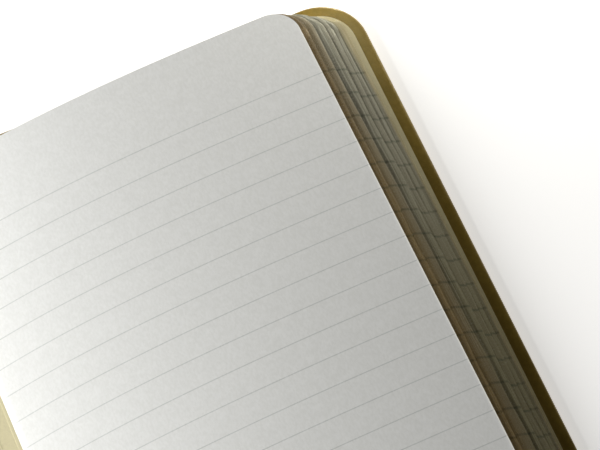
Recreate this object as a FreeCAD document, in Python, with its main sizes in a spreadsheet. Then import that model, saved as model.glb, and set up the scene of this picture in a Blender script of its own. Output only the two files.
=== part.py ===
"""Lined pocket notebook, hard covers, lying open at its first pages.

Millimetres. +X runs across the open book, +Y up the page, +Z up from the table.
The origin is on the table under the middle of the spine.

The sewn block of leaves is one piece. Its back lies flat on the spine, so its leaves start one
after another along the spine and the fore-edge fans out into a slope. The two covers are built
alike, a board wrapped in a covering and lined with an endpaper, and turn at their joints.
"""
import FreeCAD, Part
import Sketcher
import math
import os

from FreeCAD import Rotation, Vector

# Every size that can be set by itself, with what it is.
SIZES = {
    "page_width": 90.0,          # a leaf, from the sewn back to the fore-edge
    "page_height": 140.0,        # a leaf, from head to tail
    "page_corner": 6.0,          # radius of a leaf's two outer corners
    "block_thickness": 9.0,      # all the leaves at the fore-edge
    "spine_pinch": 0.7,          # how much thinner the sewn back is than the fore-edge
    "climb_loss": 1.2,           # reach that the top leaf loses by climbing over the others
    "fan_bow": 0.7,              # how far the sloping fore-edge bows outwards at half height
    "gathering_count": 7,        # sewn gatherings of leaves
    "gathering_ledge": 0.3,      # ledge that each gathering leaves under the next one
    "groove_depth": 0.4,         # how far the gap between two gatherings goes in
    "groove_height": 0.16,       # how far that gap opens at the edge
    "gutter_handle": 26.0,       # from the sewn back to the point that steers the top leaf's climb
    "gutter_lift": 1.4,          # height of that point over the fore-edge
    "crest_handle": 23.5,        # from the fore-edge to the point that steers the top leaf's crest
    "crest_lift": 0.95,          # height of that point over the fore-edge
    "fore_overhang": 4.0,        # cover beyond the lowest leaf at the fore-edge
    "head_overhang": 3.0,        # cover beyond the leaves at head and tail
    "cover_corner": 11.0,        # radius of a cover's two outer corners
    "cover_skin": 0.35,          # the covering material
    "board": 1.6,                # the boards, and the card in the spine
    "endpaper": 0.15,            # the sheet pasted inside each cover
    "endpaper_margin": 2.7,      # covering left bare round that sheet
    "turn_in": 12.0,             # covering folded over to the inside
    "edge_round": 0.7,           # rounding of the covered edges
    "joint_gap": 3.0,            # flexible joint between the spine and a board
    "joint_clearance": 0.3,      # free play that lets a cover turn beside that joint
    "spine_margin": 0.65,        # spine beyond the sewn back on each side
}

# What follows from them, as expressions on the sheet.
BACK_RUN = "(sizes.block_thickness - sizes.spine_pinch)"
SPINE_HALF = f"({BACK_RUN} / 2 + sizes.spine_margin)"
JOINT_SIDE = f"({SPINE_HALF} + sizes.joint_gap)"
FLAP = "(sizes.joint_gap - sizes.joint_clearance)"
FORE_SIDE = f"({BACK_RUN} / 2 + sizes.page_width + sizes.fore_overhang)"
COVER_HALF = "(sizes.page_height / 2 + sizes.head_overhang)"
BOARD_TOP = "(sizes.cover_skin + sizes.board)"
COVER_THICKNESS = "(2 * sizes.cover_skin + sizes.board)"

doc = FreeCAD.newDocument("lined_notebook")
sheet = doc.addObject("Spreadsheet::Sheet", "sizes")
for row, (name, number) in enumerate(SIZES.items(), start=1):
    sheet.set(f"A{row}", name)
    sheet.set(f"B{row}", str(number))
    sheet.setAlias(f"B{row}", name)
doc.recompute()


def value(expression):
    """What an expression on the sheet comes to."""
    return float(sheet.evalExpression(expression))


# ---------------------------------------------------------------- plates of the case


def new_body(label):
    """An empty body whose label names its file."""
    body = doc.addObject("PartDesign::Body", label)
    body.Label = label
    return body


def outline(body, name, height, inner, outer, half, corner=None):
    """A plate's outline at a height: straight at the inner side, with two outer corners.

    inner, outer, half and corner are expressions: where the plate begins and ends along X, half
    its length along Y, and the radius of its outer corners. No inner starts it on the Y axis.
    """
    plane = [item for item in body.Origin.OriginFeatures if item.Role == "XY_Plane"][0]
    sketch = body.newObject("Sketcher::SketchObject", name)
    sketch.AttachmentSupport = [(plane, "")]
    sketch.MapMode = "FlatFace"
    sketch.setExpression(".AttachmentOffset.Base.z", height)

    near = value(inner) if inner else 0.0
    far = value(outer)
    side = value(half)
    radius = value(corner) if corner else 0.0
    low = Vector(far - radius, radius - side, 0)
    high = Vector(far - radius, side - radius, 0)
    parts = [Part.LineSegment(Vector(near, -side, 0), Vector(far - radius, -side, 0))]
    if corner:
        circle = Part.Circle(low, Vector(0, 0, 1), radius)
        parts.append(Part.ArcOfCircle(circle, -math.pi / 2, 0))
    parts.append(Part.LineSegment(Vector(far, radius - side, 0), Vector(far, side - radius, 0)))
    if corner:
        circle = Part.Circle(high, Vector(0, 0, 1), radius)
        parts.append(Part.ArcOfCircle(circle, 0, math.pi / 2))
    parts.append(Part.LineSegment(Vector(far - radius, side, 0), Vector(near, side, 0)))
    parts.append(Part.LineSegment(Vector(near, side, 0), Vector(near, -side, 0)))
    for part in parts:
        sketch.addGeometry(part, False)

    count = len(parts)
    tail, fore, head, back = (0, 2, 4, 5) if corner else (0, 1, 2, 3)
    for index in range(count):
        following = (index + 1) % count
        smooth = corner and index < count - 2
        sketch.addConstraint(Sketcher.Constraint(
            "Tangent" if smooth else "Coincident", index, 2, following, 1))
    sketch.addConstraint(Sketcher.Constraint("Symmetric", back, 1, back, 2, -1))
    sketch.addConstraint(Sketcher.Constraint("Horizontal", tail))
    sketch.addConstraint(Sketcher.Constraint("Horizontal", head))
    sketch.addConstraint(Sketcher.Constraint("Vertical", fore))
    if corner:
        sketch.addConstraint(Sketcher.Constraint("Equal", 1, 3))

    driven = [("outer", Sketcher.Constraint("DistanceX", -1, 1, fore, 1, far), outer),
              ("half", Sketcher.Constraint("DistanceY", -1, 1, back, 1, side), half)]
    if inner:
        driven.append(("inner", Sketcher.Constraint("DistanceX", -1, 1, back, 1, near), inner))
    else:
        sketch.addConstraint(Sketcher.Constraint("PointOnObject", back, 1, -2))
    if corner:
        driven.append(("corner", Sketcher.Constraint("Radius", 1, radius), corner))
    for label, constraint, expression in driven:
        index = sketch.addConstraint(constraint)
        sketch.renameConstraint(index, label)
        sketch.setExpression(f"Constraints.{label}", expression)
    doc.recompute()
    if sketch.solve() != 0 or not sketch.Shape.isClosed():
        raise RuntimeError(f"{name} does not solve")
    return sketch


def pad(body, sketch, name, length):
    """Raises a sketch by a length."""
    feature = body.newObject("PartDesign::Pad", name)
    feature.Profile = sketch
    feature.setExpression("Length", length)
    sketch.Visibility = False
    return feature


def pocket(body, sketch, name, length):
    """Cuts a sketch upwards by a length, and makes sure that it took something away."""
    before = body.Shape.Volume
    feature = body.newObject("PartDesign::Pocket", name)
    feature.Profile = sketch
    feature.Reversed = True
    feature.setExpression("Length", length)
    doc.recompute()
    if feature.Shape.Volume >= before:
        raise RuntimeError(f"{name} cuts nothing")
    return feature


def round_edges(body, solid, keep):
    """Rounds the flat-lying edges of a plate that keep(edge) accepts."""
    doc.recompute()
    chosen = []
    for index, edge in enumerate(solid.Shape.Edges, start=1):
        box = edge.BoundBox
        if box.ZLength < 1e-6 and keep(box):
            chosen.append(f"Edge{index}")
    feature = body.newObject("PartDesign::Fillet", "rounded_edges")
    feature.Base = (solid, chosen)
    feature.setExpression("Radius", "sizes.edge_round")
    doc.recompute()
    return feature


def covering(label):
    """The covering round one board: outer face, edges, and the strips turned in."""
    body = new_body(label)
    plate = pad(body, outline(body, "whole", "0", JOINT_SIDE, FORE_SIDE, COVER_HALF,
                              "sizes.cover_corner"), "wrapped", COVER_THICKNESS)
    joint = value(JOINT_SIDE)
    round_edges(body, plate, lambda box: box.XMax > joint + 1e-3)
    room = outline(body, "board_room", "sizes.cover_skin", JOINT_SIDE,
                   f"{FORE_SIDE} - sizes.cover_skin", f"{COVER_HALF} - sizes.cover_skin",
                   "sizes.cover_corner - sizes.cover_skin")
    pocket(body, room, "board_space", "sizes.board")
    window = outline(body, "window", BOARD_TOP, JOINT_SIDE, f"{FORE_SIDE} - sizes.turn_in",
                     f"{COVER_HALF} - sizes.turn_in")
    pocket(body, window, "inside_the_turn_ins", "sizes.cover_skin")
    return body


def board(label):
    """A board, which fills the covering."""
    body = new_body(label)
    sheet_of_board = outline(body, "edge", "sizes.cover_skin", JOINT_SIDE,
                             f"{FORE_SIDE} - sizes.cover_skin", f"{COVER_HALF} - sizes.cover_skin",
                             "sizes.cover_corner - sizes.cover_skin")
    pad(body, sheet_of_board, "thickness", "sizes.board")
    return body


def endpaper(label):
    """The sheet pasted inside a cover, with the infill that levels it with the turn-ins."""
    body = new_body(label)
    infill = outline(body, "infill_edge", BOARD_TOP, JOINT_SIDE, f"{FORE_SIDE} - sizes.turn_in",
                     f"{COVER_HALF} - sizes.turn_in")
    pad(body, infill, "infill", "sizes.cover_skin")
    paper = outline(body, "sheet_edge", COVER_THICKNESS, JOINT_SIDE,
                    f"{FORE_SIDE} - sizes.endpaper_margin",
                    f"{COVER_HALF} - sizes.endpaper_margin",
                    "sizes.cover_corner - sizes.endpaper_margin")
    pad(body, paper, "pasted_sheet", "sizes.endpaper")
    return body


def across_the_spine(body, height, thickness, half, name, flaps):
    """A strip of the spine, in a body that starts where the flap over the front joint does."""
    inner = None if flaps else FLAP
    outer = f"2 * {SPINE_HALF} + {'2 * ' if flaps else ''}{FLAP}"
    strip = outline(body, f"{name}_edge", height, inner, outer, half)
    body.setExpression(".Placement.Base.x", f"-{SPINE_HALF} - {FLAP}")
    return pad(body, strip, name, thickness)


def spine_covering():
    """The covering under the spine and over both joints, turned in at head and tail."""
    body = new_body("spine_covering")
    plate = across_the_spine(body, "0", COVER_THICKNESS, COVER_HALF, "wrapped", False)
    round_edges(body, plate, lambda box: box.XLength > 1.0)
    for name, height, length, half in (
            ("card_space", "sizes.cover_skin", "sizes.board",
             f"{COVER_HALF} - sizes.cover_skin"),
            ("inside_the_turn_ins", BOARD_TOP, "sizes.cover_skin",
             f"{COVER_HALF} - sizes.turn_in")):
        room = outline(body, f"{name}_edge", height, FLAP, f"2 * {SPINE_HALF} + {FLAP}", half)
        pocket(body, room, name, length)
    across_the_spine(body, "0", "sizes.cover_skin",
                     f"{COVER_HALF} - sizes.edge_round", "joint_flaps", True)
    return body


def spine_card():
    """The strip of card that stiffens the spine."""
    body = new_body("spine_card")
    across_the_spine(body, "sizes.cover_skin", "sizes.board",
                     f"{COVER_HALF} - sizes.cover_skin", "card", False)
    return body


def spine_lining():
    """The lining glued to the sewn back, level with the endpapers, with flaps over the joints."""
    body = new_body("spine_lining")
    half = f"{COVER_HALF} - sizes.turn_in"
    across_the_spine(body, BOARD_TOP, "sizes.cover_skin", half, "lining", False)
    across_the_spine(body, COVER_THICKNESS, "sizes.endpaper", half, "joint_flaps", True)
    return body


# ---------------------------------------------------------------- the block of leaves

BED = value(COVER_THICKNESS) + value("sizes.endpaper")
PAGE_HALF = value("sizes.page_height") / 2
THICKNESS = value("sizes.block_thickness")
BACK = value(BACK_RUN)
FAN_RUN = BACK + value("sizes.climb_loss")
PAGE_WIDTH = value("sizes.page_width")
CORNER = value("sizes.page_corner")
GATHERINGS = int(value("sizes.gathering_count"))
TRIM = 2.0
LEVEL = 0.8


def fore_point(share):
    """Where the leaf that lies at this share of the thickness ends, before any step.

    The fore-edge runs from the lowest leaf to the top one and bows outwards between them.
    """
    lean = FAN_RUN * (1 - share)
    bow = 4 * value("sizes.fan_bow") * share * (1 - share)
    return Vector(BACK / 2 + PAGE_WIDTH - FAN_RUN + lean + bow, 0, BED + THICKNESS * share)


def leaf_line(share):
    """A leaf in section: a cubic climb from the sewn back, then level to beyond the fore-edge."""
    start = Vector(BACK / 2 - BACK * share, 0, BED)
    end = fore_point(share) - Vector(LEVEL, 0, 0)
    climb = Vector(start.x + value("sizes.gutter_handle"), 0,
                   BED + share * (THICKNESS + value("sizes.gutter_lift")))
    crest = Vector(end.x - value("sizes.crest_handle"), 0,
                   BED + share * (THICKNESS + value("sizes.crest_lift")))
    curve = Part.BezierCurve()
    curve.setPoles([start, climb, crest, end])
    beyond = end + Vector(LEVEL + TRIM, 0, 0)
    return start, curve.toShape(), Part.LineSegment(end, beyond).toShape(), beyond


def leaves(low, high, inset, ledge):
    """The leaves between two shares of the thickness, trimmed to their own rounded outline.

    Their section is swept from head to tail, then cut to an outline with rounded outer corners
    that leans along the fan. inset draws that outline in, and ledge stands its top edge out.
    """
    start_low, curve_low, level_low, end_low = leaf_line(low)
    start_high, curve_high, level_high, end_high = leaf_line(high)
    rim = [curve_low, level_low, Part.LineSegment(end_low, end_high).toShape(), level_high,
           curve_high, Part.LineSegment(start_high, start_low).toShape()]
    section = Part.Face(Part.Wire(Part.__sortEdges__(rim)))
    section.translate(Vector(0, -PAGE_HALF - 1, 0))
    swept = section.extrude(Vector(0, 2 * PAGE_HALF + 2, 0))

    foot = fore_point(low)
    lean = fore_point(high) + Vector(ledge, 0, 0) - foot
    slope = lean.x / lean.z
    below = foot.z
    above = THICKNESS + 3
    tall = Vector(slope * (below + above), 0, below + above)
    fore = foot.x - slope * below - inset
    half = PAGE_HALF - inset
    back = -BACK - abs(slope) * (below + above) - 1
    turn = fore - CORNER
    diagonal = CORNER * math.sqrt(0.5)
    loop = [Part.LineSegment(Vector(back, -half, 0), Vector(turn, -half, 0)),
            Part.Arc(Vector(turn, -half, 0),
                     Vector(turn + diagonal, CORNER - half - diagonal, 0),
                     Vector(fore, CORNER - half, 0)),
            Part.LineSegment(Vector(fore, CORNER - half, 0), Vector(fore, half - CORNER, 0)),
            Part.Arc(Vector(fore, half - CORNER, 0),
                     Vector(turn + diagonal, half - CORNER + diagonal, 0),
                     Vector(turn, half, 0)),
            Part.LineSegment(Vector(turn, half, 0), Vector(back, half, 0)),
            Part.LineSegment(Vector(back, half, 0), Vector(back, -half, 0))]
    trim = Part.Face(Part.Wire([item.toShape() for item in loop])).extrude(tall)
    return swept.common(trim)


def page_block():
    """All the leaves as one solid: gatherings with ledges between them, joined in their gaps."""
    gap = value("sizes.groove_height") / THICKNESS
    inset = value("sizes.groove_depth")
    ledge = value("sizes.gathering_ledge")
    stack = []
    for index in range(GATHERINGS):
        low = index / GATHERINGS + (gap / 2 if index else 0)
        high = (index + 1) / GATHERINGS - (gap / 2 if index < GATHERINGS - 1 else 0)
        stack.append(leaves(low, high, 0, ledge if index < GATHERINGS - 1 else 0))
    for index in range(1, GATHERINGS):
        share = index / GATHERINGS
        stack.append(leaves(share - 0.8 * gap, share + 0.8 * gap, inset, 0))
    block = doc.addObject("Part::Feature", "page_block")
    block.Label = "page_block"
    block.Shape = stack[0].multiFuse(stack[1:])
    block.Placement = FreeCAD.Placement()
    return block


# ---------------------------------------------------------------- assembly

nodes = [page_block(), spine_covering(), spine_card(), spine_lining()]
for side, turn in (("back", 0), ("front", 180)):
    for piece in (covering(f"{side}_covering"), board(f"{side}_board"),
                  endpaper(f"{side}_endpaper")):
        piece.Placement = FreeCAD.Placement(Vector(0, 0, 0), Rotation(Vector(0, 0, 1), turn))
        nodes.append(piece)
doc.recompute()

for item in doc.Objects:
    if "Invalid" in item.State or "Error" in item.State:
        raise RuntimeError(f"{item.Name} failed: {item.State}")

os.makedirs("parts", exist_ok=True)
for node in nodes:
    shape = node.Shape
    if shape.isNull() or not shape.isValid() or len(shape.Solids) != 1:
        raise RuntimeError(f"{node.Label} is not one sound solid")
    shape.exportStep(f"parts/{node.Label}.step")
    box = shape.BoundBox
    print(f"{node.Label}: {shape.Volume:.0f} mm3, "
          f"x {box.XMin:.2f} to {box.XMax:.2f}, z {box.ZMin:.2f} to {box.ZMax:.2f}")
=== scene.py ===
# %% [markdown]
# # A lined notebook, open at its first pages
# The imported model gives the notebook's pieces at their real size: a block of leaves, two covers
# and a spine. This lesson dresses them: it shapes the leaves, their sloping edge and the soft
# joints with numpy, and paints paper, leatherette and board with nodes alone.
# Everything is in metres, in the frame of the model: +X across the open book, +Y up the page,
# +Z up from the table.

# %% The frame
import math

import bpy
import numpy as np
from mathutils import Matrix, Vector


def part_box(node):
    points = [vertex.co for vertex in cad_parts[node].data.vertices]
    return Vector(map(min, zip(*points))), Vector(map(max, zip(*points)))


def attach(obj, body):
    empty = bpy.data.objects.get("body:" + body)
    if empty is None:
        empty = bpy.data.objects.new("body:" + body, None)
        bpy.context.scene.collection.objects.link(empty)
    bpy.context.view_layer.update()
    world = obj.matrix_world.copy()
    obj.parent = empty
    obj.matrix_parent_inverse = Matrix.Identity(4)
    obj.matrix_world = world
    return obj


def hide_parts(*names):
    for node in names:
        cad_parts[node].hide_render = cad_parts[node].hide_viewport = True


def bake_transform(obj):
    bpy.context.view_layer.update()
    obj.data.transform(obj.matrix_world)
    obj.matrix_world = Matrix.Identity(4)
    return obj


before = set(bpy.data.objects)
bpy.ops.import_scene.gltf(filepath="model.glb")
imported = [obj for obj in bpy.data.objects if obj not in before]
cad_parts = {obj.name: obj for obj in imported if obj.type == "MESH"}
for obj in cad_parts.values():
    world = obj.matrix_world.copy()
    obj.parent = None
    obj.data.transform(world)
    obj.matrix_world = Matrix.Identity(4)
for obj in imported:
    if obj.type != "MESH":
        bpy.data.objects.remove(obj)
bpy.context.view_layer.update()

MM = 0.001
print("nodes:", sorted(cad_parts))

# %% [markdown]
# ## Sizes
# The boxes of the frame's nodes say where things are. The few other sizes describe how the leaves
# climb from the sewn back, and they are the ones that the solid model was built with.
# A leaf's share says how far up the block it lies: 0 for the lowest and 1 for the first page.

# %% Sizes of the leaves and the case
block_low, block_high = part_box("page_block")
cover_low, cover_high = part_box("back_covering")
board_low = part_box("back_board")[0]
endpaper_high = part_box("back_endpaper")[1]
spine_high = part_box("spine_card")[1]

BED = block_low.z                       # the leaves lie on this height
COVER_TOP = cover_high.z                # the endpaper's sheet lies on this height
BACK = -2 * block_low.x                 # width of the sewn back, lying flat
PAGE_WIDTH = block_high.x - BACK / 2    # a leaf, from the sewn back to the fore-edge
PAGE_HALF = block_high.y                # half a leaf's height
PAGE_CORNER = 6 * MM                    # radius of a leaf's outer corners
THICKNESS = 9 * MM                      # all the leaves at the fore-edge
CLIMB_LOSS = 1.2 * MM                   # the top leaf's climb over the others costs it this reach
FAN_RUN = BACK + CLIMB_LOSS             # how far the lowest leaf reaches beyond the top one
FAN_BOW = 0.7 * MM                      # how far the sloping fore-edge bows outwards
GATHERINGS = 7                          # sewn gatherings of leaves
LEAVES = 14 * GATHERINGS                # leaves in the block
ENDS = np.array([0, 0.09, 0.243, 0.43, 0.57, 0.63, 0.857, 1])   # shares where gatherings meet
LEAN = np.array([0, 0, 0, 0, 0, 0.85, 0, 0])   # how such a share grows to the head, per metre
TOP_SHARE = 0.98                        # the block stops a little below the first page
LEDGE = 0.3 * MM                        # step that a gathering leaves under the next one
GUTTER_HANDLE = 26 * MM                 # steering points of the top leaf's climb and crest
GUTTER_LIFT = 1.4 * MM
CREST_HANDLE = 23.5 * MM
CREST_LIFT = 0.95 * MM
LEVEL = 0.8 * MM                        # the leaves run straight this far from the fore-edge
ASKEW = 0.0125                          # how far the block lies turned in its case, radians
PAGE_EDGE = BACK / 2 + PAGE_WIDTH - FAN_RUN     # the first page ends here, and the block is
PIVOT_Y = 12 * MM                       # turned about this height on that edge
RULING = 6 * MM                         # from one ruled line to the next
FIRST_LINE = 17.92 * MM                 # from the head of the page to its first line
LINES = 20                              # ruled lines on a page
COVER_CORNER = 11 * MM                  # radius of a cover's outer corners
TURN_IN = 12 * MM                       # the covering is folded this far round onto the inside
print(f"leaves {PAGE_WIDTH / MM:.1f} by {2 * PAGE_HALF / MM:.1f} mm, bed at {BED / MM:.2f} mm")

# %% [markdown]
# ## From numpy to a mesh
# A shape is worked out as an array of points. One helper turns points and faces into an object,
# with its place in the mesh, and stores a UV map for patterns that follow the surface. Points
# could also be added one by one, but whole arrays are quicker and show the shape as a formula.


# %% The mesh helpers
def grid_faces(rows, columns):
    """The quads between the points of a grid of rows by columns."""
    row = np.arange(rows - 1)[:, None] * columns
    corner = (row + np.arange(columns - 1)[None, :]).ravel()
    return np.stack([corner, corner + 1, corner + columns + 1, corner + columns], axis=-1)


def make_piece(name, points, faces, uv):
    """A smooth object from its points, its faces and the UV map's two numbers for each point."""
    mesh = bpy.data.meshes.new(name)
    mesh.from_pydata(points.tolist(), [], faces.tolist())
    layer = mesh.uv_layers.new(name="surface")
    corner = np.empty(len(mesh.loops), dtype=np.int32)
    mesh.loops.foreach_get("vertex_index", corner)
    layer.data.foreach_set("uv", uv[corner].astype(np.float32).ravel())
    mesh.polygons.foreach_set("use_smooth", np.full(len(mesh.polygons), True))
    mesh.update()
    piece = bpy.data.objects.new(name, mesh)
    bpy.context.scene.collection.objects.link(piece)
    print(f"{name}: {len(mesh.vertices)} points, {len(mesh.polygons)} faces")
    return piece


print("a grid of 3 by 4 points has", len(grid_faces(3, 4)), "faces")

# %% [markdown]
# ## Paint written as sums
# Wiring nodes one by one hides what a material does. A small class wraps a socket, so that
# `1 - mask * 0.3` adds its Math nodes.


# %% A number on which sums can be written
class Flow:
    """A number that runs through a material."""

    def __init__(self, paint, socket):
        self.paint = paint
        self.socket = socket

    def maths(self, operation, *values):
        """Adds a Math node and returns its result."""
        return self.paint.add("ShaderNodeMath", {"operation": operation}, dict(enumerate(values)))

    def __add__(self, other):
        return self.maths("ADD", self, other)

    def __radd__(self, other):
        return self.maths("ADD", other, self)

    def __sub__(self, other):
        return self.maths("SUBTRACT", self, other)

    def __rsub__(self, other):
        return self.maths("SUBTRACT", other, self)

    def __mul__(self, other):
        return self.maths("MULTIPLY", self, other)

    def __rmul__(self, other):
        return self.maths("MULTIPLY", other, self)

    def __truediv__(self, other):
        return self.maths("DIVIDE", self, other)

    def __abs__(self):
        return self.maths("ABSOLUTE", self)

    def fraction(self):
        return self.maths("FRACT", self)

    def least(self, other):
        return self.maths("MINIMUM", self, other)

    def most(self, other):
        return self.maths("MAXIMUM", self, other)


print("a Flow takes + - * / and abs(), also behind a plain number, as in 1 - mask")

# %% [markdown]
# One method adds any other node: its type, its settings, and the values or links of its sockets.
# The rest of the class gives short names to what every finish here needs: places, noise, a
# smooth step, a mix of two colours and a bump.


# %% A material
class Paint:
    """A material with a Principled shader, built up by sums and by add()."""

    def __init__(self, name, **constants):
        self.material = bpy.data.materials.new(name)
        self.material.use_nodes = True
        self.nodes = self.material.node_tree.nodes
        self.links = self.material.node_tree.links
        self.shader = self.nodes["Principled BSDF"]
        for label, number in constants.items():
            self.shader.inputs[label.replace("_", " ")].default_value = number

    def add(self, kind, settings=None, values=None, out=0):
        """Adds a node: settings first, then the values or links of its sockets."""
        node = self.nodes.new(kind)
        for label, setting in (settings or {}).items():
            if label == "stops":
                self.set_stops(node.color_ramp.elements, setting)
            else:
                setattr(node, label, setting)
        for label, given in (values or {}).items():
            socket = node.inputs[label]
            if isinstance(given, Flow):
                self.links.new(given.socket, socket)
            elif hasattr(socket.default_value, "__len__") and len(socket.default_value) == 4:
                socket.default_value = (*given, 1)
            else:
                socket.default_value = given
        return Flow(self, node.outputs[out])

    def set_stops(self, elements, stops):
        """A ramp's stops, in rising order; a new ramp already has two elements."""
        for index, (place, colour) in enumerate(stops):
            element = elements[index] if index < 2 else elements.new(place)
            element.position = place
            element.color = (*colour, 1)

    def place(self):
        """Object coordinates, in metres."""
        return self.add("ShaderNodeTexCoord", out="Object")

    def parts(self, vector):
        """The three numbers of a vector."""
        first = self.add("ShaderNodeSeparateXYZ", None, {0: vector})
        outputs = first.socket.node.outputs
        return [Flow(self, outputs[index]) for index in range(3)]

    def surface(self):
        """The two numbers of the piece's own UV map."""
        return self.parts(self.add("ShaderNodeUVMap", {"uv_map": "surface"}))[:2]

    def vector(self, x, y):
        return self.add("ShaderNodeCombineXYZ", None, {0: x, 1: y})

    def stretched(self, vector, scale):
        """A vector with each of its numbers multiplied."""
        return self.add("ShaderNodeVectorMath", {"operation": "MULTIPLY"}, {0: vector, 1: scale})

    def noise(self, vector, scale, detail=3.0, roughness=0.5):
        return self.add("ShaderNodeTexNoise", None, {
            "Vector": vector, "Scale": scale, "Detail": detail, "Roughness": roughness})

    def cells(self, vector, scale, smoothness):
        """The distance to the middle of the nearest cell, with soft borders."""
        return self.add("ShaderNodeTexVoronoi", {"feature": "SMOOTH_F1"}, {
            "Vector": vector, "Scale": scale, "Smoothness": smoothness})

    def step(self, value, low, high, start=0.0, end=1.0):
        """Start below low, end above high, and a smooth rise between them."""
        return self.add("ShaderNodeMapRange", {"interpolation_type": "SMOOTHSTEP"}, {
            "Value": value, "From Min": low, "From Max": high, "To Min": start, "To Max": end})

    def mix(self, share, first, second, blend="MIX"):
        """A colour between two colours."""
        return self.add("ShaderNodeMix", {"data_type": "RGBA", "blend_type": blend},
                        {0: share, 6: first, 7: second}, out=2)

    def bump(self, height, distance, strength):
        return self.add("ShaderNodeBump", None, {
            "Height": height, "Distance": distance, "Strength": strength})

    def feed(self, label, flow):
        self.links.new(flow.socket, self.shader.inputs[label])


def srgb(red, green, blue):
    """A colour as a painter picks it on screen, 0 to 255, turned into light."""
    shares = np.array([red, green, blue]) / 255
    light = np.where(shares <= 0.04045, shares / 12.92, ((shares + 0.055) / 1.055) ** 2.4)
    return tuple(float(share) for share in light)


print("a screen's middle grey throws back", round(srgb(128, 128, 128)[0], 3), "of the light")

# %% [markdown]
# ## Paper
# Writing paper is almost white, faintly mottled where its fibres lie thicker, and quite matt.
# The rules are printed right across and off the edge, so each leaf carries the cut ends of its
# rules on its edge, and together they draw a faint mark across the fore-edge at every line.
# A picture of paper would blur close up, and noise from nodes stays sharp.

# %% Writing paper
RULE = 0.05 * MM                        # half the width of a printed rule, and its soft rim
RULE_RIM = 0.12 * MM
HIGHLIGHT_START, HIGHLIGHT_FULL = 0.35 * MM, 0.05 * MM      # painted highlight along the cut edge: where it starts and where it is full, back from the edge
PAPER_TONES = srgb(228, 228, 224), srgb(238, 238, 234)
FIBRE_TONE = srgb(214, 214, 207)
INK = srgb(150, 158, 152)
# A painted highlight along the cut edge of the first page.
EDGE_HIGHLIGHT_TONE = srgb(255, 249, 232)


def rule_mask(paint, along, half_width, softness):
    """1 on a ruled line and 0 off it, from the height on the page, in metres."""
    turns = (PAGE_HALF - FIRST_LINE - along) / RULING
    away = abs((turns + 0.5).fraction() - 0.5) * RULING
    line = paint.step(away, half_width, half_width + softness, 1.0, 0.0)
    inside = paint.step(abs(turns - (LINES - 1) / 2), LINES / 2 - 0.1, LINES / 2, 1.0, 0.0)
    return line * inside


def ruled_paper():
    """The first page: off-white paper with grey-green rules that run off its edge, and a painted
    highlight along the very edge. The map holds the height on the page and the reach."""
    paint = Paint("ruled_paper", Roughness=0.85, IOR=1.4)
    place = paint.place()
    height, out = paint.surface()
    fibre = paint.noise(paint.stretched(place, (1.0, 0.55, 1.0)), 2000.0, 3.0, 0.55)
    cloud = paint.noise(place, 420.0, 3.0, 0.55)
    paper = paint.mix(cloud, *PAPER_TONES)
    paper = paint.mix(paint.step(fibre, 0.3, 0.7) * 0.34, paper, FIBRE_TONE)
    line = rule_mask(paint, height, RULE, RULE_RIM)
    broken = paint.noise(place, 5200.0, 2.0)
    paper = paint.mix(line * paint.step(broken, 0.25, 0.6, 0.22, 0.43), paper, INK)
    # Painted highlight: the paper turns lighter along its very edge.
    cut = paint.step(out, PAGE_EDGE - HIGHLIGHT_START, PAGE_EDGE - HIGHLIGHT_FULL)
    paper = paint.mix(cut * 0.6, paper, EDGE_HIGHLIGHT_TONE)
    paint.feed("Base Color", paper)
    paint.feed("Normal", paint.bump(fibre * 0.6 + cloud * 0.4, 0.05 * MM, 0.3))
    return paint.material


RULED = ruled_paper()
print("rules:", LINES, "lines,", 2 * RULE / MM, "mm wide")

# %% [markdown]
# The cut edges of the leaves are the richest finish here. Their colour follows each leaf's share
# of the block, and it changes slowly from tail to head; painted shade makes it brown under the
# first page and darker towards the tail. Streaks run along single leaves, painted shade darkens
# the creases where gatherings part, and the ends of the rules cross them all. Noise in space
# would cut through the leaves. The map holds each leaf's share, so the streaks follow them.

# %% The edges of the leaves
EDGE_TONES_AND_SHADE = (                           # share, and the colour of the edges there; the brown at the top leaves is painted warm shade
    (0.0, srgb(220, 208, 168)), (0.02, srgb(214, 203, 166)), (0.05, srgb(186, 184, 168)),
    (0.20, srgb(186, 184, 168)), (0.34, srgb(172, 169, 152)), (0.46, srgb(184, 182, 166)),
    (0.57, srgb(184, 182, 166)), (0.66, srgb(172, 161, 134)), (0.74, srgb(173, 159, 127)),
    (0.85, srgb(176, 152, 102)), (1.0, srgb(172, 147, 102)))
CREASE_SHADES = (                             # painted shade at the partings: parting, width as a share, darkness at tail and head
    (5, 0.036, 0.25, 0.52), (3, 0.02, 0.1, 0.45), (2, 0.018, 0.1, 0.4), (1, 0.018, 0.1, 0.45))
MARK = 0.08 * MM                        # half the width of a rule's cut end, and its soft rim
MARK_RIM = 0.36 * MM
MARK_JITTER = 0.2 * MM                  # how far the marks of single leaves wander
MARK_SPREAD = 0.011                     # the marks lie wider apart than the rules by this share
TAIL_SHADE_TINTS = srgb(208, 201, 168), srgb(236, 237, 233)     # painted shade along the edges: its tint at the tail and at the head
# Painted shade on the top leaves near the head.
HEAD_SHADE_TONE = srgb(198, 191, 176)
STREAK_TONE = srgb(186, 180, 162)
CREASE_SHADE_TONE = srgb(60, 54, 40)
SPECK_TONE = srgb(238, 233, 216)
INK_END = srgb(142, 156, 150)


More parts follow.
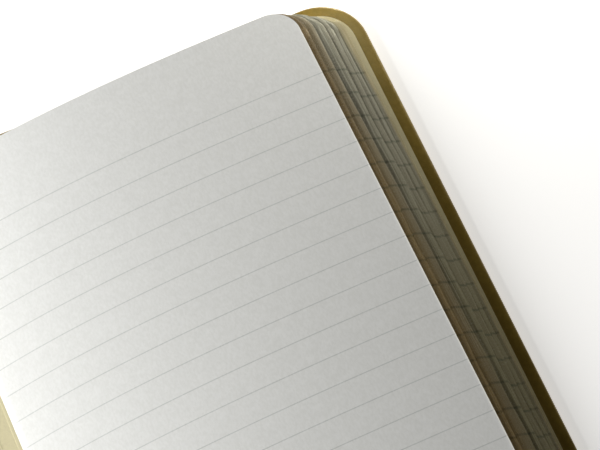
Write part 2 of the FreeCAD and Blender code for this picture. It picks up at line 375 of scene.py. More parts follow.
def edge_tone_and_shade(paint, along, share, band):
    """The edges before streaks and marks: brown at the first leaves, which is painted warm shade
    under the first page, grey in the middle, cream at the flyleaves. Painted shade makes them
    darker and warmer towards the tail, and darkens the first ones near the head."""
    faded = paint.step(along, -20 * MM, 60 * MM, 1.0, 0.9)
    spot = (share + (band - 0.5) * 0.05) * faded - paint.step(along, 40 * MM, 75 * MM) * 0.04
    # The ramp's brown at the top leaves is painted warm shade under the first page.
    tone_and_shade = paint.add("ShaderNodeValToRGB", {"stops": EDGE_TONES_AND_SHADE}, {"Fac": spot})
    # Painted shade: the edges turn darker and warmer towards the tail, most in the middle leaves.
    tail_shade = paint.mix(paint.step(along, -20 * MM, 55 * MM), *TAIL_SHADE_TINTS)
    tail_shade_reach = paint.step(share, 0.03, 0.06, 0.6, 1.0) * paint.step(share, 0.6, 0.75, 1.0, 0.6)
    tone_and_shade = paint.mix(tail_shade_reach, tone_and_shade, tail_shade, "MULTIPLY")
    # Painted shade under the first page's edge: the top leaves darken towards the head.
    head_shade = paint.step(along, 0.0, 60 * MM) * paint.step(share, 0.74, 0.84)
    return paint.mix(head_shade, tone_and_shade, HEAD_SHADE_TONE, "MULTIPLY")


def edge_crease_shades(paint, edge, along, share, band):
    """Paints shade in a thin band just under each parting, which climbs as the parting itself
    does.
    """
    for number, width, tail, head in CREASE_SHADES:
        parting = (along - PIVOT_Y) * float(LEAN[number]) + float(ENDS[number])
        away = abs(share - parting * TOP_SHARE + (width * 0.6 + (band - 0.5) * 0.01))
        # Painted shade in the crease.
        crease = paint.step(away, 0.0, width, 1.0, 0.0)
        strength = paint.step(along, 8 * MM, 58 * MM, tail, head)
        edge = paint.mix(crease * strength, edge, CREASE_SHADE_TONE)
    return edge


def leaf_edges():
    """The cut edges of the leaves. The map holds the place along Y and the leaf's share. Streaks
    and bands are noise that changes slowly along a leaf and quickly from one leaf to the next."""
    paint = Paint("leaf_edges", Roughness=0.9, IOR=1.4)
    along, share = paint.surface()
    streak = paint.noise(paint.vector(along * 90.0, share * LEAVES * 0.8), 1.0, 5.0, 0.7)
    band = paint.noise(paint.vector(along * 12.0, share * LEAVES * 0.22), 1.0, 2.0)
    speck = paint.noise(paint.vector(along * 2500.0, share * LEAVES * 1.5), 1.0, 2.0)
    fanned = paint.step(along, -30 * MM, 60 * MM, 0.25, 0.55)
    edge = paint.mix(paint.step(streak, 0.3, 0.62) * fanned, edge_tone_and_shade(paint, along, share, band),
                     STREAK_TONE, "MULTIPLY")
    edge = edge_crease_shades(paint, edge, along, share, band)
    edge = paint.mix(paint.step(speck, 0.45, 0.8) * 0.25, edge, SPECK_TONE)
    spot = along - (along - PIVOT_Y) * MARK_SPREAD + (speck - 0.5) * MARK_JITTER
    mark = rule_mask(paint, spot, MARK, MARK_RIM) * paint.step(share, 0.02, 0.04)
    edge = paint.mix(mark * paint.step(streak, 0.3, 0.62, 0.25, 0.55), edge, INK_END, "MULTIPLY")
    paint.feed("Base Color", edge)
    paint.feed("Normal", paint.bump(streak + speck * 0.4, 0.08 * MM, 0.5))
    return paint.material


EDGES = leaf_edges()
print("the edges' finish has", len(EDGES.node_tree.nodes), "nodes")

# %% [markdown]
# The endpapers are plain, thicker and creamier than the leaves. They are pasted over the
# covering's folded-in strips, whose edge shows through as a faint step, with a line of painted
# shade along it. Glue has dampened them unevenly, and painted shade darkens them where they lie
# close under the leaves. The strips could be modelled under a sheet, but a step this small is as
# good when it is painted with a bump.

# %% The endpapers
STEP_SOFT = 0.6 * MM                    # how softly the folded-in edge shows through
STEP_SHADE = 1.0 * MM                   # how far from that edge painted shade darkens the paper
STEP_JITTER = 2.0 * MM                  # how unevenly the strips were cut
FOOT_SHADE = 3.0 * MM, 4.4 * MM               # painted shade darkens the paper over this stretch before the leaves
CREAM_TONES = srgb(245, 235, 190), srgb(251, 242, 200)
CREAM_FIBRE = srgb(218, 206, 168)
CREAM_DAMP = srgb(230, 216, 170)
CREAM_STEP_SHADE = srgb(216, 203, 158)
CREAM_FOOT_SHADE = srgb(190, 178, 138)


def cream_paper():
    """Cream paper, with painted shade that darkens it towards the leaves. How far in from the
    cover's edge a spot lies is the lesser of its distances to the fore-edge and to the head or
    tail."""
    paint = Paint("endpaper", Roughness=0.8, IOR=1.4)
    place = paint.place()
    x, y, _ = paint.parts(place)
    fibre = paint.noise(place, 1800.0, 5.0, 0.6)
    cloud = paint.noise(place, 160.0, 3.0)
    damp = paint.noise(place, 22.0, 4.0, 0.6)
    inwards = (cover_high.x - abs(x)).least(cover_high.y - abs(y)) + (damp - 0.5) * STEP_JITTER
    under = paint.step(inwards, TURN_IN - STEP_SOFT, TURN_IN + STEP_SOFT, 1.0, 0.0)
    shaded = paint.step(abs(inwards - TURN_IN), 0.0, STEP_SHADE, 1.0, 0.0)
    paper = paint.mix(cloud, *CREAM_TONES)
    paper = paint.mix(paint.step(fibre, 0.35, 0.8) * 0.3, paper, CREAM_FIBRE)
    paper = paint.mix(paint.step(damp, 0.35, 0.75) * 0.25, paper, CREAM_DAMP)
    # Painted shade along the folded-in edge.
    paper = paint.mix(shaded * 0.3, paper, CREAM_STEP_SHADE)
    # Painted shade where the paper runs in under the leaves.
    paper = paint.mix(paint.step(inwards, *FOOT_SHADE) * 0.25, paper, CREAM_FOOT_SHADE)
    paint.feed("Base Color", paper)
    paint.feed("Normal", paint.bump(fibre * 0.06 + under * 0.35, 1.0 * MM, 0.4))
    return paint.material


CREAM = cream_paper()
print("the folded-in covering ends", TURN_IN / MM, "mm in from a cover's edge")

# %% [markdown]
# ## Leatherette
# The covering is a smooth coated material with a fine pebbled grain: two sizes of cells give the
# pebbles, the coating gives a soft gloss, and it is paler where it is rubbed, most of all along
# the covers' outline. Its grain is noise in space, which needs no map and has no seams.

# %% The covering
GRAIN_BEND = 0.4 * MM                   # noise shifts the cells of the grain by up to this
WORN_INSIDE, WORN_FULL = 1.0 * MM, 0.2 * MM     # wear starts inside the outline, full beyond it
WORN_JITTER = 1.6 * MM
SKIN_TONES = srgb(127, 104, 39), srgb(147, 122, 52)
GRAIN_TONE = srgb(148, 124, 56)
HOLLOW_TONE = srgb(106, 86, 30)
RUBBED_TONE = srgb(154, 132, 70)
WORN_TONE = srgb(164, 142, 84)


def leatherette():
    """Olive-brown coated covering with a fine grain, paler where the outline is rubbed.

    How near a spot is to the outline comes from its distance to a box that is smaller than the
    cover by the radius of its corners: on the outline, that distance is the radius everywhere.
    """
    paint = Paint("leatherette", IOR=1.5, Specular_Tint=(1.0, 0.86, 0.4, 1.0))
    place = paint.place()
    bent = paint.add("ShaderNodeVectorMath", {"operation": "MULTIPLY_ADD"}, {
        0: paint.add("ShaderNodeTexNoise", None, {"Vector": place, "Scale": 900.0}, out="Color"),
        1: (GRAIN_BEND, GRAIN_BEND, GRAIN_BEND), 2: place})
    grain = paint.step(paint.cells(bent, 2600.0, 0.4), 0.1, 0.75, 1.0, 0.0)
    pebbles = paint.step(paint.cells(bent, 950.0, 0.6), 0.1, 0.8, 1.0, 0.0)
    cloud = paint.noise(place, 60.0, 4.0, 0.55)
    rub = paint.noise(place, 350.0, 5.0, 0.65)
    x, y, _ = paint.parts(place)
    past = paint.vector((abs(x) - (cover_high.x - COVER_CORNER)).most(0.0),
                        (abs(y) - (cover_high.y - COVER_CORNER)).most(0.0))
    reach = paint.add("ShaderNodeVectorMath", {"operation": "LENGTH"}, {0: past}, out="Value")
    worn = paint.step(reach + (rub - 0.5) * WORN_JITTER, COVER_CORNER - WORN_INSIDE,
                      COVER_CORNER + WORN_FULL)
    tone = paint.mix(paint.step(cloud, 0.3, 0.7), *SKIN_TONES)
    tone = paint.mix(grain * 0.35, tone, GRAIN_TONE)
    tone = paint.mix((1 - pebbles) * 0.3, tone, HOLLOW_TONE)
    tone = paint.mix(paint.step(rub, 0.55, 0.8) * 0.3, tone, RUBBED_TONE)
    tone = paint.mix(worn * 0.4, tone, WORN_TONE)
    paint.feed("Base Color", tone)
    paint.feed("Roughness", 0.28 + rub * 0.1)
    paint.feed("Normal", paint.bump(grain + pebbles * 1.5 + cloud * 0.2, 0.04 * MM, 0.2))
    return paint.material


SKIN = leatherette()
print("the covering's finish has", len(SKIN.node_tree.nodes), "nodes")

# %% [markdown]
# Board shows only where a book comes apart, so its finish is short: grey pulp, whose fibres lie
# flat because the board was rolled.

# %% Board
BOARD_TONES = srgb(138, 130, 116), srgb(172, 165, 150)


def grey_board():
    """Bookbinding board: grey pulp with darker and lighter fibres."""
    paint = Paint("board", Roughness=0.95)
    fibre = paint.noise(paint.stretched(paint.place(), (1.0, 1.0, 3.0)), 1500.0, 6.0, 0.7)
    paint.feed("Base Color", paint.mix(paint.step(fibre, 0.3, 0.7), *BOARD_TONES))
    paint.feed("Normal", paint.bump(fibre, 0.1 * MM, 0.5))
    return paint.material


BOARD = grey_board()
print("finishes:", [material.name for material in (RULED, EDGES, CREAM, SKIN, BOARD)])

# %% [markdown]
# ## The leaves
# Every leaf is sewn at the back and lies on the one below. Its run in section is a cubic curve
# that climbs from the back and levels out at the fore-edge. The heights grow with the leaf's
# share, so one formula holds them all, where a bent grid for each leaf would never quite agree.


# %% The run of a leaf
def fore_x(share):
    """Where a leaf ends: a straight lean from the lowest leaf to the top one, plus a bow."""
    lean = FAN_RUN * (1 - share)
    bow = 4 * FAN_BOW * share * (1 - share)
    return PAGE_EDGE + lean + bow


def leaf_run(share, along, draw_in=0.0):
    """X and Z of a leaf: a cubic Bezier curve for along 0 to 1, then straight on to along 2.

    The curve's four poles are the sewn back, a point that steers the climb, one that steers the
    crest, and the start of the last stretch. All heights but the first grow with the share.
    draw_in shortens the leaf by that much at the fore-edge, less and less towards along 0.6.
    """
    curve = np.minimum(along, 1.0)
    rest = 1 - curve
    start = BACK / 2 - BACK * share
    end = fore_x(share) - LEVEL
    weights = (rest ** 3, 3 * rest ** 2 * curve, 3 * rest * curve ** 2, curve ** 3)
    poles_x = (start, start + GUTTER_HANDLE, end - CREST_HANDLE, end)
    lifts = (0.0, THICKNESS + GUTTER_LIFT, THICKNESS + CREST_LIFT, THICKNESS)
    x = sum(weight * pole for weight, pole in zip(weights, poles_x))
    z = BED + share * sum(weight * lift for weight, lift in zip(weights, lifts))
    last = np.maximum(along - 1.0, 0.0) * LEVEL
    x = x + last - draw_in * np.clip(along - 0.6, 0.0, 1.4) / 1.4
    return x, z - share * last * CREST_LIFT / CREST_HANDLE


def turned(x, y, angle):
    """X and Y turned by an angle about the spot on the first page's edge."""
    x, y = x - PAGE_EDGE, y - PIVOT_Y
    return (PAGE_EDGE + x * math.cos(angle) - y * math.sin(angle),
            PIVOT_Y + x * math.sin(angle) + y * math.cos(angle))


def leaf_sheet(share, along, across, draw_in=0.0):
    """Points of a whole leaf on a grid: along runs from the back to the fore-edge, across from
    tail to head. Near the fore-edge the leaf is shorter by the height of its corner's arc. The
    whole block lies a little askew in its case.
    """
    x, z = leaf_run(share, along, draw_in)
    away = np.clip(fore_x(share) - draw_in - x, 0.0, PAGE_CORNER)
    arc = np.sqrt(np.maximum(PAGE_CORNER ** 2 - (PAGE_CORNER - away) ** 2, 0.0))
    half = PAGE_HALF - draw_in - PAGE_CORNER + arc
    x, z, y = np.broadcast_arrays(x, z, half * across)
    x, y = turned(x, y, ASKEW)
    return np.stack([x, y, z], axis=-1)


print(f"the top leaf ends {(fore_x(0.0) - fore_x(1.0)) / MM:.1f} mm short of the lowest one")

# %% [markdown]
# The grid is fine only where the shape asks for it: round the corners, and in two narrow rows at
# head and tail, which keep the smooth shading of the page from bleeding into its edge.

# %% The grid of a leaf
RUN_STEPS = 46                          # steps along a leaf up to where its corner turns
CORNER_STEPS = 14                       # steps along it where its corner turns
TALL_STEPS = 47                         # steps from tail to head
NARROW = 0.9995                         # the narrow rows start at this share of half the height


def tall_steps(count):
    """Even steps from -1, the tail, to 1, the head, with a narrow one more at each end."""
    return np.sort(np.append(np.linspace(-1, 1, count), (-NARROW, NARROW)))


def along_steps():
    """Steps from the back to the fore-edge; in the corner they follow equal turns of its arc."""
    turn = np.linspace(0, math.pi / 2, CORNER_STEPS)
    away = PAGE_CORNER * (1 - np.sin(turn))
    fine = np.linspace(0, 2, 4001)
    spots = np.interp(fore_x(1.0) - away, leaf_run(1.0, fine)[0], fine)
    return np.concatenate([np.linspace(0, spots[0], RUN_STEPS)[:-1], spots])


ALONG = along_steps()
ACROSS = tall_steps(TALL_STEPS)
print(f"grid of a leaf: {len(ALONG)} by {len(ACROSS)} points")

# %% [markdown]
# ## Closed solids
# A leaf, a block and a cover are all the same kind of shape: a sheet below, a sheet above, and a
# wall of rows between their edges. A Solidify modifier gives one even thickness, and a block has
# none, so one helper joins the three instead, and nothing is left open.


# %% The solid helpers
def boundary(rows, columns):
    """Row and column numbers of a grid's points, once around its edge."""
    ahead = [(row, 0) for row in range(rows)]
    side = [(rows - 1, column) for column in range(1, columns)]
    back = [(row, columns - 1) for row in range(rows - 2, -1, -1)]
    close = [(0, column) for column in range(columns - 2, 0, -1)]
    return np.array(ahead + side + back + close)


def edge_rows(sheets):
    """The wall between stacked grids of one size: the edge of each, as a row of points."""
    rim = boundary(*sheets[0].shape[:2])
    return np.stack([sheet[rim[:, 0], rim[:, 1]] for sheet in sheets])


def face_outwards(piece):
    """Turns every face the right way out, by the sign of the volume that the faces enclose."""
    mesh = piece.data
    mesh.calc_loop_triangles()
    corners = np.empty(len(mesh.loop_triangles) * 3, dtype=np.int32)
    mesh.loop_triangles.foreach_get("vertices", corners)
    points = np.empty(len(mesh.vertices) * 3)
    mesh.vertices.foreach_get("co", points)
    a, b, c = points.reshape(-1, 3)[corners].reshape(-1, 3, 3).transpose(1, 0, 2)
    volume = np.einsum("ij,ij->i", a, np.cross(b, c)).sum() / 6
    if volume < 0:
        mesh.flip_normals()
    print(f"    {piece.name} encloses {abs(volume) * 1e6:.2f} cm3")
    return piece


def closed_solid(name, low, high, wall, heights=None, slides=0.0, sheet_uv=None):
    """A sheet below, a sheet above and a wall of rows, as one closed surface.

    low and high are grids of points; wall holds rows of points around the grids' edge, and its
    first and last rows are the edges of the two sheets. The UV map holds each point's place
    along Y, slid by its row's slide, and its row's height as a share; or sheet_uv, for both
    sheets alike.
    """
    rows, columns = low.shape[:2]
    count = rows * columns
    rim = boundary(rows, columns)
    edge = rim[:, 0] * columns + rim[:, 1]
    low, high = low.reshape(-1, 3).copy(), high.reshape(-1, 3).copy()
    low[edge], high[edge] = wall[0], wall[-1]
    points = np.concatenate([low, high, wall[1:-1].reshape(-1, 3)])
    between = [2 * count + row * len(rim) + np.arange(len(rim)) for row in range(len(wall) - 2)]
    lines = [edge] + between + [count + edge]
    quads = grid_faces(rows, columns)
    faces = [quads[:, ::-1], quads + count]
    for below, above in zip(lines[:-1], lines[1:]):
        faces.append(np.stack([above, np.roll(above, -1), np.roll(below, -1), below], axis=-1))
    uv = np.stack([points[:, 1], np.zeros(len(points))], axis=-1)
    heights = np.linspace(0, 1, len(lines)) if heights is None else heights
    for line, height, slide in zip(lines, heights, np.broadcast_to(slides, len(lines))):
        uv[line] = np.stack([points[line, 1] + slide, np.full(len(line), height)], axis=-1)
    uv[count:2 * count, 1] = heights[-1]
    if sheet_uv is not None:
        uv[:2 * count] = np.tile(sheet_uv.reshape(-1, 2), (2, 1))
    return face_outwards(make_piece(name, points, np.concatenate(faces), uv))


print("once around a leaf's grid:", len(boundary(len(ALONG), len(ACROSS))), "points")

# %% [markdown]
# ## The block
# The leaves are sewn in gatherings, and each gathering shows at the edge as a band, with a dark
# crease where it meets the next. A sheet for every leaf would be heavy and would hide almost all
# of itself, so the block is one solid whose wall has one row of points for each leaf. No leaf is
# trimmed quite like its neighbour, so each row wanders in and out a little, by a sum of waves.

# %% How the gatherings part
DEPTHS = np.array([0.0, 0.2, 0.4, 0.45, 0.15, 0.9, 0.08, 0.5]) * MM     # how deep, at each end
WIDTHS = np.array([0.1, 0.14, 0.14, 0.16, 0.1, 0.24, 0.3, 0.2]) * MM    # and how widely
CLOSED = np.array([0, 1, 1, 1, 0, 0.5, 0, 0])   # how far they close again below the head


def parting_depths(share, across, fanned):
    """How far each leaf is drawn in by the partings: bells around the spots where they lie."""
    ends = ENDS + LEAN * (across[:, None] * PAGE_HALF - PIVOT_Y)
    away = (share[:, None, None] - ends) * THICKNESS
    depths = DEPTHS * (1 - CLOSED * (1 - fanned)[:, None])
    return (depths * np.exp(-(away / WIDTHS) ** 2)).sum(axis=-1)


print("the gatherings' bands, mm:", np.round(np.diff(ENDS) * THICKNESS / MM, 2).tolist())

# %% How the leaves wander
chance = np.random.default_rng(7)
WAVES = 1, 40                           # least and most waves once around the block
WANDER = 0.05 * MM                      # how far a single leaf's edge wanders in and out
SHIFTS = np.array([0.03, 0.12, 0.12, 0.12, 0.12, 0.07, 0.06]) * MM      # and a whole gathering's
LEAF_WAVES, BAND_WAVES = 9, 4           # waves added up for a leaf and for a gathering


def waves(rows, places, count):
    """A sum of slow waves along the edge for each row, with chance sizes, numbers and starts."""
    number = chance.integers(*WAVES, (rows, count, 1))
    start = chance.uniform(0, 2 * math.pi, (rows, count, 1))
    size = chance.normal(0, 1 / math.sqrt(count), (rows, count, 1))
    return (size * np.sin(number * places + start)).sum(axis=1)


print(f"a leaf wanders by about {WANDER / MM} mm, a gathering by up to {SHIFTS.max() / MM:.2f} mm")

# %% The block of leaves
BELLY = 0.32 * MM                       # how far a gathering's middle leaves stand out
FLYLEAF = 0.6 * MM                      # how far the flyleaves at the back stand out
FLYLEAVES = 0.06                        # their share of the block
INSETS = 0.02 * MM, 1.6 * MM            # the least and most that any leaf is drawn in
FAN_START, FAN_FULL = 0.35, 0.85        # the book fans open between these, 1 being the head
SLIDES = np.array([-0.12, 0.10, 0.50, -0.45, -0.42, -0.36, 0.10]) * MM  # how low a gathering lies


def page_block():
    """The block as a closed solid; its wall has a row for each leaf.

    A row is drawn in by a bell around each spot where gatherings part, by a parabola within a
    gathering (its belly) and by a slope (the ledge that it leaves under the next one). Above the
    middle the book is fanned more and more, so partings and bellies are fuller there. The lowest
    rows, the flyleaves, stand out at the fore-edge instead, the more so towards the head.
    """
    rim = boundary(len(ALONG), len(ACROSS))
    along, across = ALONG[rim[:, 0]], ACROSS[rim[:, 1]]
    fanned = np.clip((across - FAN_START) / (FAN_FULL - FAN_START), 0, 1)
    share = np.linspace(0, 1, LEAVES + 1)
    gathering = np.clip(np.searchsorted(ENDS, share, side="right") - 1, 0, GATHERINGS - 1)
    inner = (share - ENDS[gathering]) / np.diff(ENDS)[gathering]
    belly = BELLY * (2 * inner - 1) ** 2 + LEDGE / 2 * (1 - inner)
    draw = parting_depths(share, across, fanned) + belly[:, None] * (0.5 + 0.5 * fanned)
    share = share * TOP_SHARE
    around = np.linspace(0, 2 * math.pi, len(rim), endpoint=False)
    wander = waves(len(share), around, LEAF_WAVES) * WANDER
    shift = (waves(GATHERINGS, around, BAND_WAVES) * SHIFTS[:, None])[gathering]
    inset = np.clip(draw + wander + shift, *INSETS)
    corner = ALONG[-CORNER_STEPS]
    fore = np.clip((along - corner) / (2 - corner), 0, 1)
    fore = fore * (2 - fore) * np.clip(4 * fore, 0, 1) * (0.75 + 0.5 * across)
    inset -= (FLYLEAF + BELLY) * np.clip(1 - share / FLYLEAVES, 0, 1)[:, None] * fore
    wall = leaf_sheet(share[:, None], along, across, inset)
    low = leaf_sheet(0.0, ALONG[:, None], ACROSS[None, :], inset[0].mean())
    high = leaf_sheet(TOP_SHARE, ALONG[:, None], ACROSS[None, :], inset[-1].mean())
    return closed_solid("leaves", low, high, wall, share, SLIDES[gathering])


block = page_block()
block.data.materials.append(EDGES)
block.data.materials.append(CREAM)
outer_leaves = np.arange(len(block.data.polygons)) < 2 * (len(ALONG) - 1) * (len(ACROSS) - 1)
block.data.polygons.foreach_set("material_index", outer_leaves.astype(np.int32))
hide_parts("page_block")
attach(block, "pages")
print("faces of the two outer leaves:", int(outer_leaves.sum()))

# %% [markdown]
# ## The first page
# The top leaf lies loose on the block. It is one thin sheet with its own two faces, and its free
# edge stands a hair's breadth above the leaf below, which draws the thin shadow under it. Made as
# part of the block it would cast none.

# %% The first leaf
LEAF = 0.09 * MM                        # thickness of one leaf
FIRST = 0.994                           # the first leaf's share
FIRST_INSET = 0.07 * MM                 # how far it is drawn in
LEAF_LIFT = 0.13 * MM                   # how far the free edge stands above its resting place
LOOSE = 40 * MM                         # how far in from the edge the leaf lifts off
BURR = 0.05 * MM                        # how far the cut turned the very edge up
BURR_WIDTH = 0.2 * MM
SEWN_IN = 0.02                          # over this first bit of its run the leaf thickens
SEWN_SHARE = 0.3                        # from this share of its thickness


def first_leaf():
    """A closed thin sheet: the top leaf's grid, lifted towards its free edge, and the same grid
    one thickness lower. The lift grows with the square of the distance from where it starts, and
    varies a little from tail to head. The cutter's burr falls off as exp(-distance from the edge
    / BURR_WIDTH). The map holds the leaf's own height and reach, with the block's turn undone.
    """
    top = leaf_sheet(FIRST, ALONG[:, None], ACROSS[None, :], FIRST_INSET)
    away = fore_x(FIRST) - leaf_run(FIRST, ALONG)[0][:, None]
    lift = LEAF_LIFT * np.clip(1 - away / LOOSE, 0, 1) ** 2
    top[..., 2] += lift * (0.6 + 0.4 * np.sin(2.2 * ACROSS + 0.8))
    top[..., 2] += BURR * np.exp(-away / BURR_WIDTH)
    under = top.copy()
    under[..., 2] -= LEAF * np.minimum(1, ALONG / SEWN_IN + SEWN_SHARE)[:, None]
    own = np.stack(turned(top[..., 0], top[..., 1], -ASKEW)[::-1], axis=-1)
    return closed_solid("first_leaf", under, top, edge_rows([under, top]), sheet_uv=own)


leaf = first_leaf()
leaf.data.materials.append(RULED)
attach(leaf, "pages")

# %% [markdown]
# ## The case
# The covers are boards wrapped in leatherette and lined with an endpaper. The leatherette turns
# softly over the boards' edges, so a cover is a slab whose outline shrinks as it nears each face.
# A box with a Bevel modifier would do it too, but here the corners' arcs keep one middle point.

# %% The slab of a cover
ROUND = 0.7 * MM                        # how softly the covering turns over an edge
WIDE_ROWS, TALL_ROWS = 24, 41           # rows of points across a cover and up it
ARC_ROWS, EDGE_ROWS = 13, 7             # round a corner and over an edge


def slab_sheet(x_start, x_end, half, corner, draw_in, z):
    """A level sheet with two rounded corners at x_end, drawn in from its outline on every side.

    Up to the corners the half height is half - draw_in. In the corners it is
    half - corner + (corner - draw_in) cos(a), at x_end - corner + (corner - draw_in) sin(a).
    """
    straight = np.linspace(x_start + draw_in, x_end - corner, WIDE_ROWS)[:-1]
    angle = np.linspace(0, math.pi / 2, ARC_ROWS)
    x = np.concatenate([straight, x_end - corner + (corner - draw_in) * np.sin(angle)])
    tall = half - corner + (corner - draw_in) * np.cos(angle)
    tall = np.concatenate([np.full(len(straight), half - draw_in), tall])
    across = np.linspace(-1, 1, TALL_ROWS)[None, :]
    return np.stack(np.broadcast_arrays(x[:, None], tall[:, None] * across, z), axis=-1)


def slab(name, x_start, x_end, half, corner, z_low, z_high, edge):
    """A closed slab whose edges turn over in quarter circles of radius edge."""
    angle = np.linspace(0, math.pi / 2, EDGE_ROWS)
    drawn = np.concatenate([edge * (1 - np.sin(angle)), edge * (1 - np.cos(angle))])
    z = np.concatenate([z_low + edge * (1 - np.cos(angle)), z_high - edge * (1 - np.sin(angle))])
    sheets = [slab_sheet(x_start, x_end, half, corner, d, level) for d, level in zip(drawn, z)]
    return closed_solid(name, sheets[0], sheets[-1], edge_rows(sheets))


def paint_node(node, material):
    """Gives a solid of the frame another finish and leaves its mesh as it is."""
    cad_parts[node].data.materials.clear()
    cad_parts[node].data.materials.append(material)


print(f"a cover's edges turn over in {ROUND / MM} mm, its corners in {COVER_CORNER / MM:.0f} mm")

# %% The covers and the spine
for cover in ("back", "front"):
    skin = slab(f"{cover}_cover_skin", cover_low.x, cover_high.x, cover_high.y, COVER_CORNER,
                0.0, COVER_TOP, ROUND)
    if cover == "front":
        skin.data.transform(Matrix.Rotation(math.pi, 4, "Z"))
    skin.data.materials.append(SKIN)
    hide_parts(f"{cover}_covering")
    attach(skin, f"{cover}_cover")
    paint_node(f"{cover}_board", BOARD)
    paint_node(f"{cover}_endpaper", CREAM)

spine_corner = ROUND + 0.1 * MM         # hardly more than its edges' turn
spine = slab("spine_skin", -spine_high.x, spine_high.x, cover_high.y, spine_corner,
             0.0, COVER_TOP, ROUND)
spine.data.materials.append(SKIN)
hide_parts("spine_covering")
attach(spine, "pages")
paint_node("spine_card", BOARD)
print(f"each cover {(cover_high.x - cover_low.x) / MM:.1f} mm wide, {COVER_TOP / MM:.1f} mm thick")

# %% [markdown]
# ## The joints
# Between each board and the spine the skins lie over nothing, and that is where the book bends:
# the covering outside, which is turned in over the head and the tail, and the lining inside. Each
# is one ribbon from inside the spine to inside the cover. It could ride on either of them, but
# then a pose would tear it off the other; here it is attached to neither.

# %% The ribbon of a joint
HAIR = 0.03 * MM                        # keeps two skins from lying in the same plane
TUCK = 0.5 * MM                         # how far a ribbon runs on inside its neighbours
TURNED_TO = cover_high.y - TURN_IN      # the turned-in skin ends this far from the middle
LINING_HALF = endpaper_high.y           # the lining is as tall as the endpapers beside it
LINING_CORNER = 0.2 * MM                # its corners and edges are nearly sharp
LINING_ROUND = 0.05 * MM
JOINT_ROWS = 33                         # rows of points across a joint, where it bends
RUN_ROWS, TURN_ROWS, FOLD_ROWS = 25, 17, 9      # up a skin, over its turn and back


def ribbon(name, side, y, z, thickness):
    """A thin closed ribbon across one joint, finely divided so that it bends smoothly.

    Its middle follows a line of points (y, z), and its two faces lie half a thickness away along
    the line's normal, which is the line's direction turned by a quarter.
    """
    x = side * np.linspace(spine_high.x - TUCK, cover_low.x + TUCK, JOINT_ROWS)[:, None]
    ahead = np.stack([np.gradient(y), np.gradient(z)])
    ahead /= np.hypot(*ahead)
    sheets = [np.stack(np.broadcast_arrays(x, y - offset * ahead[1], z + offset * ahead[0]), -1)
              for offset in (-thickness / 2, thickness / 2)]
    return closed_solid(name, *sheets, edge_rows(sheets))


def turned_in(reach, tuck, z_low, z_high):
    """The line of a skin that runs from tail to head at z_low, turns over at both ends in a half
    circle, and runs back at z_high as far as tuck from the middle."""
    radius = (z_high - z_low) / 2
    angle = np.linspace(-math.pi / 2, math.pi / 2, TURN_ROWS)
    y = np.concatenate([np.linspace(0, reach - radius, RUN_ROWS)[:-1],
                        reach - radius + radius * np.cos(angle),
                        np.linspace(reach - radius, tuck, FOLD_ROWS)[1:]])
    z = np.concatenate([np.full(RUN_ROWS - 1, z_low),
                        (z_low + z_high) / 2 + radius * np.sin(angle),
                        np.full(FOLD_ROWS - 1, z_high)])
    return np.concatenate([-y[:0:-1], y]), np.concatenate([z[:0:-1], z])


print(f"the turned-in skin ends {TURNED_TO / MM:.1f} mm from the middle of the book")

# %% The joints and the lining
skin_thick = board_low.z - HAIR
skin_y, skin_z = turned_in(cover_high.y - skin_thick, TURNED_TO - TUCK, HAIR + skin_thick / 2,
                           COVER_TOP - HAIR - skin_thick / 2)
lining_thick = BED - COVER_TOP - HAIR
lining_y = LINING_HALF * tall_steps(TALL_ROWS)
lining_z = np.full(len(lining_y), COVER_TOP + lining_thick / 2)
for side, cover in ((1, "back"), (-1, "front")):
    outer = ribbon(f"{cover}_joint_skin", side, skin_y, skin_z, skin_thick)
    inner = ribbon(f"{cover}_joint_lining", side, lining_y, lining_z, lining_thick)
    for piece, material, slot_name in ((outer, SKIN, "covering"), (inner, CREAM, "endpaper")):
        piece.data.materials.append(material)
        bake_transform(piece)

lining = slab("spine_lining_middle", -spine_high.x, spine_high.x, LINING_HALF, LINING_CORNER,
              COVER_TOP - HAIR, BED, LINING_ROUND)
lining.data.materials.append(CREAM)
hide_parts("spine_lining")
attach(lining, "pages")
print(f"each joint bends over {(cover_low.x - spine_high.x) / MM:.1f} mm")

# %% [markdown]
# ## The table
# A plain pale table, only faintly mottled. It glows a little, as a large table does that is lit
# evenly from all over a room, and so it also lightens the shaded side of the book from below.

# %% The table
TABLE_TONES = srgb(238, 237, 234), srgb(246, 245, 243)
TABLE_GLOW = 0.6
TABLE_SIDE = 6                          # metres
bpy.ops.mesh.primitive_plane_add(size=TABLE_SIDE, location=(0, 0, 0))
table = bpy.context.object
table.name = "table"
table_paint = Paint("table", Roughness=0.6, Emission_Strength=TABLE_GLOW)
pale = table_paint.mix(table_paint.noise(table_paint.place(), 3.0, 4.0), *TABLE_TONES)
table_paint.feed("Base Color", pale)
table_paint.feed("Emission Color", pale)
table.data.materials.append(table_paint.material)
print("table:", [round(size, 2) for size in table.dimensions], "m")

# %% [markdown]
# ## The light
# The window stands to the left and a little behind, so the page is bright, and the sloping
# fore-edge and the cover beyond it lie in warm shade. Three small lamps near the head corner of
# the fore-edge lift that shade: one high up for the soft gloss on the cover, one low at the
# corner, which grazes the cover and the endpaper without reaching the page, and a wide one at
# the side for the leaves. A picture of a room could light it all, but lamps can be placed.

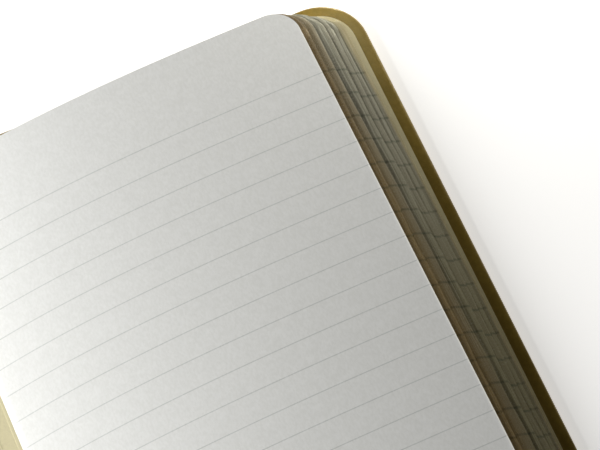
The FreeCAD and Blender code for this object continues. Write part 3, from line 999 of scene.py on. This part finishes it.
# %% The light
LIGHTS = (      # name, spot lit, azimuth, elevation, distance, width, watts, colour
    ("window", (0.05, 0.02, 0.01), 170, 25, 0.55, 0.32, 4.7, (0.985, 0.99, 1.0)),
    ("lamp", (0.096, 0.070, 0.01), 72, 60, 0.070, 0.015, 0.0090, (1.0, 0.98, 0.92)),
    ("corner lamp", (0.094, 0.069, 0.004), 66, 13, 0.030, 0.008, 0.0085, (1.0, 0.98, 0.94)),
    ("side lamp", (0.096, 0.072, 0.01), 22, 18, 0.09, 0.05, 0.038, (1.0, 0.98, 0.94)))
ROOM_COLOUR = srgb(240, 232, 216)
ROOM_STRENGTH = 0.041


def soft_light(name, spot, azimuth, elevation, distance, width, watts, colour):
    """A square area light that looks at a spot, from an azimuth and an elevation in degrees."""
    data = bpy.data.lights.new(name, "AREA")
    data.shape = "SQUARE"
    data.size = width
    data.energy = watts
    data.color = colour
    light = bpy.data.objects.new(name, data)
    a, e = math.radians(azimuth), math.radians(elevation)
    aim = Vector((math.cos(a) * math.cos(e), math.sin(a) * math.cos(e), math.sin(e)))
    light.location = Vector(spot) + aim * distance
    light.rotation_euler = aim.to_track_quat("Z", "Y").to_euler()
    bpy.context.scene.collection.objects.link(light)
    print(f"{name}: {watts} W at", [round(place, 3) for place in light.location])


for light in LIGHTS:
    soft_light(*light)
world = bpy.data.worlds.new("room")
world.use_nodes = True
background = world.node_tree.nodes["Background"]
background.inputs["Color"].default_value = (*ROOM_COLOUR, 1)
background.inputs["Strength"].default_value = ROOM_STRENGTH
bpy.context.scene.world = world
bpy.context.scene.view_settings.view_transform = "Standard"

# %% [markdown]
# ## The camera
# It looks steeply down on the fore-edge side of the page, from a little to the left of it, and
# is turned clockwise about its own line of sight. A long lens from half a metre away keeps the
# rules nearly parallel.

# %% The camera
TARGET = Vector((65.92, 21.42, 11.45)) * MM
AZIMUTH, ELEVATION, ROLL = map(math.radians, (-13.97, 65.05, 10.0))
DISTANCE = 535.4 * MM
LENS, SENSOR = 156, 36                  # millimetres, as on a real camera
back = Vector((math.sin(AZIMUTH) * math.cos(ELEVATION),
               -math.cos(AZIMUTH) * math.cos(ELEVATION), math.sin(ELEVATION)))
level = Vector((0, 0, 1)).cross(back).normalized()
upright = back.cross(level)
right = math.cos(ROLL) * level - math.sin(ROLL) * upright
up = math.cos(ROLL) * upright + math.sin(ROLL) * level
view = Matrix((right, up, back)).transposed().to_4x4()
view.translation = TARGET + back * DISTANCE
camera_data = bpy.data.cameras.new("camera")
camera_data.lens = LENS
camera_data.sensor_width = SENSOR
camera_data.clip_start = 0.01
camera = bpy.data.objects.new("camera", camera_data)
camera.matrix_world = view
bpy.context.scene.collection.objects.link(camera)
bpy.context.scene.camera = camera
print("camera at", [round(place, 4) for place in view.translation])
